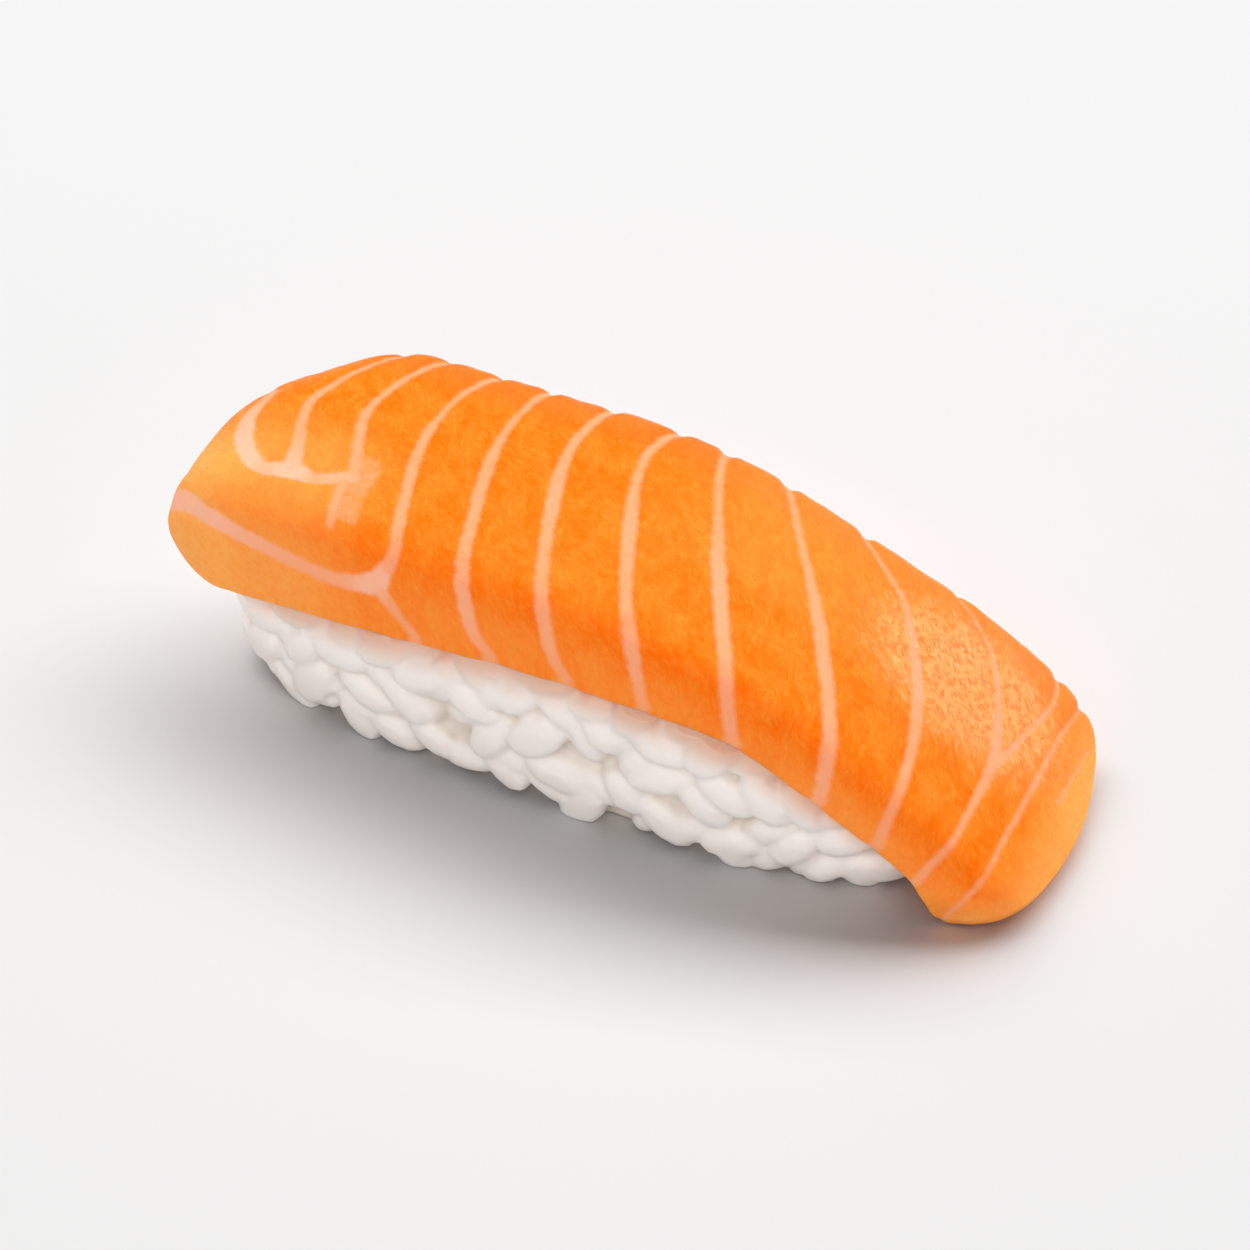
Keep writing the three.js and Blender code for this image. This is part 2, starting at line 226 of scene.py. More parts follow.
# Where the sheets of fat come to the surface, from the left end to the right: flat places along
# each line, with half its width there
FAT_LINES = {
    "shoulder": [
        (-6.5, -16.0, 0.7), (-2.9, -14.2, 0.95), (0.0, -14.4, 0.9), (5.0, -15.3, 0.7),
        (12.9, -16.4, 0.6), (17.1, -16.3, 0.65), (20.3, -15.4, 1.0), (21.6, -13.2, 0.6),
    ],
    "branch of the shoulder": [
        (20.6, -15.6, 0.8), (23.2, -18.2, 0.35), (24.8, -19.5, 0.35), (27, -21.5, 0.3),
    ],
    "hook": [
        (-1.4, 4.5, 0.4), (-1.1, 0.0, 0.65), (-0.5, -2.3, 0.8), (0.8, -4.8, 0.9),
        (2.9, -6.7, 0.85), (4.6, -7.3, 0.7), (7.9, -6.5, 0.9), (10.2, -6.6, 0.6),
        (12.2, -5.7, 0.65), (13.8, -4.8, 0.6),
    ],
    "sheet 2": [
        (7.6, -6.5, 0.8), (6.4, -3.2, 0.6), (4.8, 0.4, 0.4), (4.0, 3.9, 0.4), (5.0, 7.9, 0.4),
        (6.8, 11.8, 0.3), (9, 16, 0.3), (12, 24, 0.3),
    ],
    "sheet 3": [
        (13.9, -5.0, 0.55), (13.1, -2.8, 0.45), (11.6, 0.4, 0.4), (10.4, 3.9, 0.4),
        (10.6, 7.5, 0.35), (11.8, 12.1, 0.4), (14, 17, 0.4), (17, 24, 0.3),
    ],
    "edge of the patch": [
        (13.2, -5.4, 0.4), (13.9, -8.2, 0.35), (14.5, -11.0, 0.3),
    ],
    "sheet 4": [
        (21.4, -13.8, 0.65), (22.1, -11.4, 0.5), (20.7, -7.1, 0.45), (18.4, 0.0, 0.4),
        (17.6, 4.6, 0.4), (17.6, 8.9, 0.3), (18.5, 13.0, 0.4), (20, 17, 0.4), (23, 24, 0.3),
    ],
    "sheet 5": [
        (27.5, 24, 0.3), (25.6, 17, 0.4), (24.7, 11.1, 0.35), (24.8, 6.1, 0.4), (26.1, 0.0, 0.5),
        (28.4, -7.5, 0.45), (29.8, -12.5, 0.62), (31.4, -17.1, 0.6), (34.6, -19.9, 0.25),
        (38, -21, 0.2),
    ],
    "sheet 6": [
        (34.5, 24, 0.3), (32.6, 17, 0.4), (31.8, 11.0, 0.5), (32.1, 5.7, 0.5), (33.75, 0.0, 0.55),
        (36.5, -7.5, 0.45), (38.4, -12.1, 0.58), (40.4, -16.8, 0.55), (43.6, -19.4, 0.25),
        (47, -21, 0.2),
    ],
    "sheet 7": [
        (42.5, 24, 0.3), (40.2, 17, 0.4), (38.9, 11.1, 0.45), (39.9, 5.7, 0.45), (42.0, 0.0, 0.55),
        (45.2, -7.5, 0.45), (48.4, -13.0, 0.6), (51.4, -17.9, 0.45), (55, -20, 0.2),
    ],
    "sheet 8": [
        (47, 24, 0.25), (45.2, 17, 0.3), (46.25, 11.6, 0.4), (49.1, 5.0, 0.4), (51.4, 0.0, 0.58),
        (55.7, -7.9, 0.55), (60.4, -15.2, 0.55), (63.6, -17.5, 0.35), (67, -20, 0.2),
    ],
    "sheet 9": [
        (53, 24, 0.25), (52, 17, 0.3), (54.2, 12.2, 0.35), (58.2, 6.2, 0.4), (62.1, 0.4, 0.54),
        (67.1, -7.5, 0.55), (71.6, -15.0, 0.6), (74, -19, 0.4),
    ],
    "sheet 10": [
        (62, 24, 0.2), (61, 18, 0.2), (61.6, 15, 0.25), (63.6, 13.1, 0.25), (67.5, 10.0, 0.35),
        (70.7, 5.7, 0.45), (73.8, 0.6, 0.52), (76.0, -5.2, 0.45), (77.5, -10.9, 0.4),
        (80.2, -16.3, 0.5), (82, -20, 0.4),
    ],
    "sheet 11": [
        (73, 24, 0.2), (72, 18, 0.2), (73.2, 15.6, 0.2), (75.4, 13.8, 0.2), (78.6, 11.4, 0.3),
        (81.25, 7.1, 0.35), (83.4, 2.5, 0.5), (84.1, -0.2, 0.5), (84.4, -7.1, 0.25),
        (84.8, -12.5, 0.3), (86.2, -17, 0.35), (88, -20, 0.3),
    ],
    "sheet 12": [
        (86.5, 24, 0.2), (86.5, 17, 0.25), (87.0, 12.5, 0.3), (86.1, 7.9, 0.2), (85.2, 3.6, 0.2),
        (84.4, 0.6, 0.4),
    ],
    "sheet 13": [
        (91, 22, 0.12), (90.6, 16, 0.12), (89.3, 9.3, 0.22), (89.2, 3.9, 0.18), (89.1, -6.4, 0.12),
        (89.8, -12.1, 0.1), (91.5, -18, 0.1),
    ],
    "sheet 14": [
        (93.2, 11, 0.1), (92.7, 6.4, 0.12), (92.5, 2.5, 0.1),
    ],
}

# A flat patch where a sheet of fat lies just under the surface and shows through, and the thinner
# lines on the far side
PATCH = {
    "left edge": [(-10.6, 14.2), (-5.5, 13.3), (-2.8, 13.1), (-1, 12.4)],
    "left fade": (-0.2, 0.3), "right fade": (2.2, 5.0),
    "near fade": (-10.8, -10.4), "far fade": (-2.5, 0),
    "depths": (-1.0, -0.12),
}
FAR_THINNING = {"most": 0.13, "b": (2, 8)}

# Grooves along the fat, small swells, and the softened rim
GROOVE_DEPTH = {"flat": 0.12, "far edge": 0.36, "from": 9, "to": 15}
GROOVE_HALF = 0.55
LINE_STEPS = 10
SWELLS = [(0.16, 0.14), (0.5, 0.07), (1.4, 0.03)]   # waves per millimetre and their heights
RIM_PASSES = 3
RIM_REACH = {"across": 0.97, "from end": 0.5}

# Where the flesh is paler: partly its own tone, where it is thin or its fibres lie on edge,
# and partly painted sheen, on the crown, the near side and the hanging tip: how much, and from
# where to where along and across the slice it sets in
PALE_AND_SHEEN_AREAS = [
    {"much": 0.6, "s": (6, -3), "b": (-1, -9)},
    {"much": 0.45, "s": (21, 9), "b": (4, -5)},
    {"much": 0.3, "b": (-12, -17)},
    {"much": 0.2, "s": (60, 75), "b": (-11, -15)},
    {"much": 0.2, "s": (40, 55), "b": (-3, 4)},
    {"much": 0.8, "s": (89, 96)},
]
# Painted shade where the light falls off towards the far shoulder
PAINTED_FAR_SHADE = {"much": 0.6, "b": (9, 15)}
# The wet, glossier area on the hanging end; its flesh is also painted paler there, as painted sheen
WET = {"s": 78, "b": 6, "half": 16, "wide": 9.5, "fade": (0.2, 1.3)}
WET_TURN = -38


def ease(value, low, high):
    """0 at low, 1 at high and smooth between them; low may be the greater"""
    part = np.clip((value - low) / (high - low), 0, 1)
    return part * part * (3 - 2 * part)


def lerp(low, high, part):
    return low + (high - low) * part


def bent_strip(slope_at, start, stop):
    """A strip that bends in one plane: at each distance, how far along and how far up it is"""
    stops = np.arange(start, stop, STRIP_STEP)
    slopes = np.radians(slope_at(stops + STRIP_STEP / 2))
    along = np.append(0, np.cumsum(np.cos(slopes))) * STRIP_STEP
    rise = np.append(0, np.cumsum(np.sin(slopes))) * STRIP_STEP
    places = np.append(stops, stops[-1] + STRIP_STEP)
    return lambda distance: (np.interp(distance, places, along), np.interp(distance, places, rise))


def slope_along(s):
    droop = LEFT_DROOP * (1 - ease(s, 0, LEFT_DROOP_END))
    return TILT + droop - HANG_ANGLE * ease(s, HANG_START, LENGTH) ** HANG_EASE


def slope_across(shoulder):
    start, stop = shoulder["start"], shoulder["start"] + shoulder["width"]
    return lambda b: CROWN_BEND * b / BEND_REFERENCE + shoulder["turn"] * ease(b, start, stop)


near_slope = slope_across(NEAR_SHOULDER)
far_slope = slope_across(FAR_SHOULDER)
along_strip = bent_strip(slope_along, -STRIP_MARGIN, LENGTH + STRIP_MARGIN)
near_strip = bent_strip(near_slope, 0, WIDEST)
far_strip = bent_strip(far_slope, 0, WIDEST)


def strip_across(b):
    """How far to the side and how far down the slice is at b"""
    near, far = near_strip(abs(b)), far_strip(abs(b))
    return np.where(b < 0, near[0], far[0]), np.where(b < 0, near[1], far[1])


def corner_cut(distance, radius, power):
    """How far a round corner pulls a long edge in, at a distance from the end"""
    inside = radius - np.clip(distance, 0, radius)
    return radius * (1 - (1 - (inside / radius) ** power) ** (1 / power))


def near_edge(part):
    """How far the near edge lies from the crown line, leaving its round corners out"""
    flare = np.clip(1 - (1 - part) * LENGTH / TIP_FLARE_LENGTH, 0, 1) ** 2
    dip = NEAR_DIP["deep"] * np.exp(-(((part - NEAR_DIP["at"]) / NEAR_DIP["half"]) ** 2))
    return NEAR_HALF - NEAR_TAPER * (part - 0.5) + TIP_FLARE * flare - dip


def half_width(part, side):
    """From the crown line to the near edge, where side is negative, or to the far edge"""
    def rounded(edge, corners):
        left = corner_cut(part * LENGTH, corners["left"], corners["power"])
        return edge - left - corner_cut((1 - part) * LENGTH, corners["right"], corners["power"])
    near, far = rounded(near_edge(part), NEAR_CORNERS), rounded(FAR_HALF, FAR_CORNERS)
    return np.where(side < 0, near, far)


def flat_place(part, across):
    """The flat place of part, 0 to 1 along the slice, and across, -1 at the near edge to 1"""
    b = across * half_width(part, across)
    left = LEFT_CUT["at"] + LEFT_CUT["far bend"] * np.maximum(b - LEFT_CUT["far from"], 0) ** 2
    left = left - LEFT_CUT["near jut"] * ease(-b, *LEFT_CUT["near"])
    right = RIGHT_END_BULGE["most"] * (1 - (b / RIGHT_END_BULGE["half"]) ** 2) * part ** 2
    return part * LENGTH + left * (1 - part) ** LEFT_CUT["fade"] + right, b


def end_roll(part, b):
    """How far the upper face rolls down towards the two cut ends and their round corners"""
    def roll(most, from_end, edge, radius, power):
        round_part = max(radius, END_ROLL["reach"])
        past_end = round_part - np.clip(from_end, 0, round_part)
        past_edge = round_part - np.clip(edge - abs(b), 0, round_part)
        inside = round_part - (past_end ** power + past_edge ** power) ** (1 / power)
        fall = np.clip(1 - inside / END_ROLL["reach"], 0, 1) ** 2
        return most * fall * ease(past_end, 0, round_part)

    def both(edge, corners):
        left = roll(END_ROLL["left"], part * LENGTH, edge, corners["left"], corners["power"])
        from_right = (1 - part) * LENGTH
        return left + roll(END_ROLL["right"], from_right, edge, corners["right"], corners["power"])
    return np.where(b < 0, both(near_edge(part), NEAR_CORNERS), both(FAR_HALF, FAR_CORNERS))


def underside_depth(s, b, part):
    """Depth of the underside below the crown line: it cups the rice, and is level at the edges"""
    rim_along, rim_rise = strip_across(np.where(b < 0, -1, 1) * half_width(part, b))
    centre = lerp(THICKNESS, TIP_THICKNESS, ease(s, THINNING["from"], THINNING["to"]))
    reach = np.minimum(strip_across(b)[0] / (rim_along * RIM_START), 1)
    return lerp(centre, rim_rise + EDGE_THICKNESS, reach ** UNDERSIDE_POWER)


def drape(s, b, part, depth, relief):
    """Where a flat place lies in space; depth is 0 on the upper face and 1 on the underside"""
    side_along, side_rise = strip_across(b)
    turned = np.radians(np.where(b < 0, near_slope(abs(b)), far_slope(abs(b))))
    relief = relief + end_roll(part, b)
    top = -side_rise - relief * np.cos(turned)
    bottom = np.minimum(-underside_depth(s, b, part), top - THINNEST)
    n = lerp(top, bottom, depth)
    along, rise = along_strip(s)
    middle_along, middle_rise = along_strip(LENGTH / 2)
    slope = np.radians(slope_along(s))
    hump = HUMP["height"] * np.exp(-(((s - HUMP["at"]) / HUMP["half"]) ** 2))
    for dip in FAR_DIPS:
        hump -= dip["slope"] * np.maximum(b, 0) * np.exp(-(((s - dip["at"]) / dip["half"]) ** 2))
    swing = END_SWING * (2 * s / LENGTH - 1) ** 2
    x = CROWN["x"] + along - middle_along - np.sin(slope) * n
    y = CROWN["y"] + np.sign(b) * (side_along - relief * np.sin(turned)) + swing
    z = CROWN["z"] + rise - middle_rise + hump + np.cos(slope) * n
    return np.stack([x, y, np.maximum(z, PLATE_GAP)], axis=-1)


def smooth_line(places):
    """Places close together on a smooth curve through the given ones"""
    known = np.array(places, float)
    known = np.vstack([2 * known[0] - known[1], known, 2 * known[-1] - known[-2]])
    runs = []
    for before, here, there, after in zip(known, known[1:], known[2:], known[3:]):
        t = np.linspace(0, 1, LINE_STEPS, endpoint=False)[:, None]
        runs.append(0.5 * (
            2 * here + (there - before) * t
            + (2 * before - 5 * here + 4 * there - after) * t ** 2
            + (3 * here - 3 * there + after - before) * t ** 3
        ))
    return np.vstack(runs + [known[-2:-1]])


def depth_inside(line, s, b):
    """How far inside a line of fat flat places are, negative outside, and its half width there"""
    deepest = np.full(s.shape, -WIDEST, float)
    half_there = np.zeros(s.shape)
    for start, stop in zip(line, line[1:]):
        run = stop[:2] - start[:2]
        part = ((s - start[0]) * run[0] + (b - start[1]) * run[1]) / (run @ run)
        part = np.clip(part, 0, 1)
        away = np.hypot(s - start[0] - part * run[0], b - start[1] - part * run[1])
        half = lerp(start[2], stop[2], part)
        half_there = np.where(half - away > deepest, half, half_there)
        deepest = np.maximum(deepest, half - away)
    return deepest, half_there


def fat_at(s, b):
    """How far inside the nearest line of fat each flat place is, and the half width of that line"""
    found = [depth_inside(smooth_line(places), s, b) for places in FAT_LINES.values()]
    depths, halves = (np.array(values) for values in zip(*found))
    nearest = depths.argmax(axis=0)[None]
    return tuple(np.take_along_axis(values, nearest, axis=0)[0] for values in (depths, halves))


def outward(part, across):
    """Direction square to the outline at its places, on the flat slice"""
    on_end = abs(across) < 1
    step = OUTLINE_STEP
    low_s, low_b = flat_place(np.where(on_end, part, np.clip(part - step, 0, 1)),
                              np.where(on_end, across - step, across))
    high_s, high_b = flat_place(np.where(on_end, part, np.clip(part + step, 0, 1)),
                                np.where(on_end, across + step, across))
    run = np.hypot(high_s - low_s, high_b - low_b)
    turn = np.where(on_end, -np.sign(part - 0.5), np.sign(across)) / run
    return -turn * (high_b - low_b), turn * (high_s - low_s)


def slab():
    """A closed flat slab of quads: the upper face, the underside and the cut wall round them"""
    shape = bmesh.new()
    bmesh.ops.create_grid(shape, x_segments=COLUMNS, y_segments=ROWS, size=1)
    lower = bmesh.ops.extrude_face_region(shape, geom=shape.faces[:])["geom"]
    lower = [item for item in lower if isinstance(item, bmesh.types.BMVert)]
    bmesh.ops.translate(shape, verts=lower, vec=(0, 0, -1))
    upright = [edge for edge in shape.edges if edge.verts[0].co.z != edge.verts[1].co.z]
    bmesh.ops.subdivide_edges(shape, edges=upright, cuts=WALL_STEPS - 1, use_grid_fill=True)
    bmesh.ops.recalc_face_normals(shape, faces=shape.faces[:])
    return shape


def crowded_parts(value):
    """Spreads columns along the slice so that they crowd together at its cut ends"""
    parts = np.linspace(0, 1, END_CROWDING["steps"] * COLUMNS)
    from_end = np.minimum(parts, 1 - parts) * LENGTH
    spacing = 1 - END_CROWDING["share"] * np.exp(-from_end / END_CROWDING["reach"])
    columns = np.cumsum(1 / spacing)
    columns = (columns - columns[0]) / (columns[-1] - columns[0])
    return np.interp(value, columns, parts)


def swell_at(s, b):
    """Small unevenness of the flesh"""
    def one(place_s, place_b):
        return sum(
            high * noise.noise(Vector((place_s, place_b, 0)) * waves)
            for waves, high in SWELLS
        )
    return np.array([one(*place) for place in zip(s, b)])


shape = slab()
grid = np.array([vertex.co for vertex in shape.verts])
part = crowded_parts((grid[:, 0] + 1) / 2)
across = grid[:, 1]
depth = -grid[:, 2]
s, b = flat_place(part, across)
inside, fat_half = fat_at(s, b)
deep = ease(b, GROOVE_DEPTH["from"], GROOVE_DEPTH["to"])
deep = lerp(GROOVE_DEPTH["flat"], GROOVE_DEPTH["far edge"], deep)
groove = deep * np.exp(-((np.minimum(inside, 0) / GROOVE_HALF) ** 2))
relief = groove + swell_at(s, b)

on_wall = (depth > 0) & (depth < 1)
top_places = drape(s, b, part, 0, relief)
wall_height = np.linalg.norm(top_places - drape(s, b, part, 1, relief), axis=1)
out_s, out_b = outward(part, across)
share = np.where(part <= 0, WALL_BULGE["left"], WALL_BULGE["elsewhere"])
bulge = np.where(on_wall, share * wall_height * np.sin(pi * depth), 0)
round_depth = (1 - np.cos(pi * depth)) / 2
places = drape(s + bulge * out_s, b + bulge * out_b, part, round_depth, relief)
for vertex, place in zip(shape.verts, places):
    vertex.co = place * MM

from_end = np.minimum(part, 1 - part) * LENGTH
soft = on_wall | (abs(across) > RIM_REACH["across"]) | (from_end < RIM_REACH["from end"])
soft_vertices = [vertex for vertex, is_soft in zip(shape.verts, soft) if is_soft]
for _ in range(RIM_PASSES):
    bmesh.ops.smooth_vert(
        shape, verts=soft_vertices, factor=0.5,
        use_axis_x=True, use_axis_y=True, use_axis_z=True,
    )


def tint(red, green, blue):
    """A colour given as it shows on a screen, 0 to 255, for a shader"""
    def straight(value):
        value /= 255
        return value / 12.92 if value < 0.04045 else ((value + 0.055) / 1.055) ** 2.4
    return (straight(red), straight(green), straight(blue), 1)


FLESH = tint(255, 110, 0)
# Lighter flesh of its own tone, also used for painted glints on the fibres
FLESH_LIGHTER_AND_GLINTS = tint(255, 148, 48)
# Paler flesh, also used for painted sheen
FLESH_PALE_AND_SHEEN = tint(255, 168, 84)
# Painted shade on the far shoulder
FLESH_PAINTED_FAR_SHADE = tint(250, 112, 44)
FAT = tint(253, 160, 112)
FAT_THICK = tint(252, 182, 150)

# Soft patterns in the flesh: their waves in millimetres, across and along the way they are turned,
# and the range of the noise that is stretched from 0 to 1, or between the two values after it
FIBRES = {"wide": 0.4, "long": 1.2, "turn": -62, "distortion": 0.9}
CROSS_FIBRES = {"wide": 0.4, "long": 1.0, "turn": -20, "distortion": 0.9}
CROSSED = {"wide": 3.2, "distortion": 1.0, "shown": (0.47, 0.57)}
BLOTCHES = {
    "wide": 2.4, "long": 4.0, "turn": -62, "detail": 3.0, "distortion": 1.0,
    "shown": (0.35, 0.65),
}
STREAKS = {"wide": 0.5, "long": 1.8, "turn": WET_TURN, "distortion": 0.8}
CREASES = {"wide": 0.6, "long": 1.5, "turn": WET_TURN, "distortion": 0.9}
CREASED = {"wide": 1.0, "shown": (0.35, 0.6)}
WAVER = {"wide": 1.1, "detail": 3.0}
MOTTLE = {"wide": 1.2, "shown": (0.2, 0.6, 0.84, 1.0)}
GRIT = {"wide": 0.2}

BLOTCH_LIGHT = 0.32
FIBRE_TONE_AND_PAINTED_GLINTS = 0.37
FIBRES_SHOWN = (0.36, 0.74)
WET_SHOWN = (0.15, 0.85)
# How much paler the wet area is painted, as painted sheen
WET_PAINTED_SHEEN = 0.75
WET_COAT = 0.8
DRY_COAT = 0.01
# Creases: half width and darkness of the painted shade in them, how much more it shows on wet flesh
# than on dry, and the half width of their bump
CREASE = {"half": 0.12, "painted shade": 0.65, "dry": 0.3, "more when wet": 1.15, "raised half": 0.14}
FAT_EDGE = {"ragged": 0.6, "fade": (-0.5, 0.2)}   # millimetres inside the line
THICK_FAT = (0.45, 0.9)                           # half widths of thin and thick lines
RELIEF = {"grit": 0.4, "creases": 0.5, "fine when wet": 0.6}
FLAT_UNIT = 100                                   # millimetres to a unit of the flat UV map

# The functions below add their nodes to tree, the nodes of the material that is being made
flesh, tree = new_finish("raw salmon")
flat = add_node(tree, "ShaderNodeUVMap", {"uv_map": "flat"}).outputs["UV"]


def spread(value, low, high, to_low=0.0, to_high=1.0):
    """A value that runs from low to high made to run smoothly between two others"""
    return add_node(
        tree, "ShaderNodeMapRange", {"interpolation_type": "SMOOTHSTEP"},
        Value=value, From_Min=low, From_Max=high, To_Min=to_low, To_Max=to_high,
    ).outputs[0]


def flat_noise(wide, long=None, turn=0, detail=2.0, distortion=0.0, shown=None):
    """One of the patterns on the flat slice"""
    placed = add_node(
        tree, "ShaderNodeMapping", {"vector_type": "TEXTURE"},
        Vector=flat, Scale=((long or wide) / FLAT_UNIT, wide / FLAT_UNIT, 1),
        Rotation=(0, 0, radians(turn)),
    )
    made = add_node(
        tree, "ShaderNodeTexNoise",
        Vector=placed.outputs[0], Scale=1.0, Detail=detail, Distortion=distortion,
    ).outputs["Fac"]
    return spread(made, *shown) if shown else made


def maths(operation, *values):
    made = add_node(tree, "ShaderNodeMath", {"operation": operation})
    for value, socket in zip(values, made.inputs):
        plug(tree, value, socket)
    return made.outputs[0]


def plus(first, second):
    return maths("ADD", first, second)


def minus(first, second):
    return maths("SUBTRACT", first, second)


def times(first, second):
    return maths("MULTIPLY", first, second)


def mixed(amount, first, second):
    """The first value where amount is 0 and the second where it is 1"""
    return plus(times(amount, second), times(minus(1.0, amount), first))


def centred(pattern):
    """Noise as ups and downs around 0"""
    return minus(pattern, 0.5)


def blend_colours(amount, first, second):
    made = add_node(tree, "ShaderNodeMix", {"data_type": "RGBA"})
    inputs = {socket.identifier: socket for socket in made.inputs}
    plug(tree, amount, inputs["Factor_Float"])
    plug(tree, first, inputs["A_Color"])
    plug(tree, second, inputs["B_Color"])
    return next(socket for socket in made.outputs if socket.identifier == "Result_Color")


def attribute(name):
    return add_node(tree, "ShaderNodeAttribute", {"attribute_name": name}).outputs["Fac"]


# Lighter flesh: soft blotches of its own tone, and fibre streaks that are partly its own tone and
# partly painted glints
fibres = mixed(flat_noise(**CROSSED), flat_noise(**FIBRES), flat_noise(**CROSS_FIBRES))
light = plus(
    times(flat_noise(**BLOTCHES), BLOTCH_LIGHT),
    times(spread(fibres, *FIBRES_SHOWN), FIBRE_TONE_AND_PAINTED_GLINTS),
)
colour = blend_colours(light, FLESH, FLESH_LIGHTER_AND_GLINTS)
# Painted shade towards the far shoulder
colour = blend_colours(attribute("far"), colour, FLESH_PAINTED_FAR_SHADE)

# Painted sheen: the wet area is painted paler, together with the paler areas, which hold painted
# sheen too
wet = spread(plus(attribute("wet"), centred(flat_noise(**STREAKS))), *WET_SHOWN)
paleness_and_sheen = maths("MAXIMUM", attribute("pale"), times(wet, WET_PAINTED_SHEEN))
colour = blend_colours(paleness_and_sheen, colour, FLESH_PALE_AND_SHEEN)

off_crease = maths("ABSOLUTE", centred(flat_noise(**CREASES)))
# Painted shade in the creases, stronger on the wet area, where it breaks up the painted sheen
crease_painted_shade = spread(off_crease, 0.0, CREASE["half"], CREASE["painted shade"], 0.0)
crease_painted_shade = times(crease_painted_shade, flat_noise(**CREASED))
crease_painted_shade = times(crease_painted_shade, plus(times(wet, CREASE["more when wet"]), CREASE["dry"]))
colour = blend_colours(crease_painted_shade, colour, FLESH)

ragged = times(centred(flat_noise(**WAVER)), FAT_EDGE["ragged"])
in_fat = spread(plus(attribute("fat_inside"), ragged), *FAT_EDGE["fade"])
in_fat = times(in_fat, flat_noise(**MOTTLE))
fat_colour = blend_colours(spread(attribute("fat_half"), *THICK_FAT), FAT, FAT_THICK)
colour = blend_colours(in_fat, colour, fat_colour)

raised = spread(off_crease, 0.0, CREASE["raised half"])
fine = plus(fibres, times(flat_noise(**GRIT), RELIEF["grit"]))
fine = plus(fine, times(raised, RELIEF["creases"]))
flesh_bump = add_node(tree, "ShaderNodeBump", Height=fine, Strength=0.4, Distance=0.15 * MM)
wrinkles = plus(raised, times(fine, RELIEF["fine when wet"]))
wet_bump = add_node(tree, "ShaderNodeBump", Height=wrinkles, Strength=1.0, Distance=0.4 * MM)
show(tree, add_node(
    tree, "ShaderNodeBsdfPrincipled",
    Base_Color=colour, Roughness=0.35, IOR=1.38, Specular_IOR_Level=0.04,
    Subsurface_Weight=0.35, Subsurface_Radius=(1.0, 0.35, 0.12), Subsurface_Scale=1.2 * MM,
    Coat_Weight=plus(times(wet, WET_COAT), DRY_COAT), Coat_Roughness=0.12, Coat_IOR=1.6,
    Normal=flesh_bump.outputs[0], Coat_Normal=wet_bump.outputs[0],
))


def area_at(s, b, area):
    """How strongly an area that sets in along and across the slice shows at flat places"""
    strength = area["much"]
    for way, places in (("s", s), ("b", b)):
        if way in area:
            strength = strength * ease(places, *area[way])
    return strength


def keep_values(mesh, name, values):
    """Gives each vertex a number that its material reads"""
    mesh.attributes.new(name, "FLOAT", "POINT").data.foreach_set("value", values)


past_edge = s - np.interp(b, *zip(*PATCH["left edge"]))
patch = ease(past_edge, *PATCH["left fade"]) * (1 - ease(past_edge, *PATCH["right fade"]))
patch *= ease(b, *PATCH["near fade"]) * (1 - ease(b, *PATCH["far fade"]))
thinner = FAR_THINNING["most"] * ease(b, *FAR_THINNING["b"])
from_wet = np.hypot((s - WET["s"]) / WET["half"], (b - WET["b"]) / WET["wide"])

salmon = as_object("salmon", shape, flesh)
mesh = salmon.data
keep_values(mesh, "fat_inside", np.maximum(inside - thinner, lerp(*PATCH["depths"], patch)))
keep_values(mesh, "fat_half", fat_half)
# Paler flesh, partly its own tone and partly painted sheen
keep_values(mesh, "pale", np.minimum(sum(area_at(s, b, area) for area in PALE_AND_SHEEN_AREAS), 1))
keep_values(mesh, "wet", 1 - ease(from_wet, *WET["fade"]))
# Painted shade on the far shoulder
keep_values(mesh, "far", area_at(s, b, PAINTED_FAR_SHADE))
corner_vertex = np.zeros(len(mesh.loops), int)
mesh.loops.foreach_get("vertex_index", corner_vertex)
flat_uv = np.stack([s, b], axis=-1)[corner_vertex] / FLAT_UNIT
mesh.uv_layers.new(name="flat").data.foreach_set("uv", flat_uv.ravel())
piece_only.objects.link(salmon)
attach(salmon, "root")
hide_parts("salmon_slice")


# ---- Mound of rice ----
# A handful of cooked short-grain rice pressed into a boat with squared ends. The grains keep their
# plump shape and stick to each other where they touch, and the mound fills the slice's underside.

MOUND = {"half_length": 40, "half_width": 14.5, "height": 18.3, "x": -2.7, "y": -2.3}
SQUARENESS = 3.15
SIDE_TUCK = {"share": 0.09, "power": 2.2}
END_TUCK = {"share": 0.06, "power": 2}
CORE_INSET = 2.0
CORE_TOP = 26
CORE_SIDES = 96
CORE_RINGS = 10

# Whole grains: how deep their middles sink into the wall, how near they lie, in grain sizes, and
# how far they turn on the wall and tip out of it, in radians
GRAIN = (7.6, 4.5, 4.2)   # length, width and depth
GRAIN_SIZES = (0.92, 1.12)
GRAIN_LAYERS = [
    {"sinks": (1.3, 1.9), "spacing": 0.7, "turn": 1.1},
    {"sinks": (2.0, 2.6), "spacing": 0.62, "turn": 1.4},
]
GRAIN_TRIES = 6000
GRAIN_LOWEST = 1.5
GRAIN_BELOW_RIM = 0.6
GRAIN_TIP = 0.15
GRAIN_BEND = 0.12
RICE_SEED = 20
WALL_STEP = 0.02          # radians either way, to find how the wall runs
LEFT_STANDING = 0.22      # share of what stands out of the wall that is left after pressing
FUSING = 0.34
FUSE_PASSES = 1

# Where the mound meets the slice, and where its colour changes
RIM_STEPS = {"side": 400, "end": 100}
INTO_SLICE = 0.25
RIM_ZONE = 1.5
BESIDE_RIM = 0.5          # fall of the rice beside the slice, to each millimetre from the rim
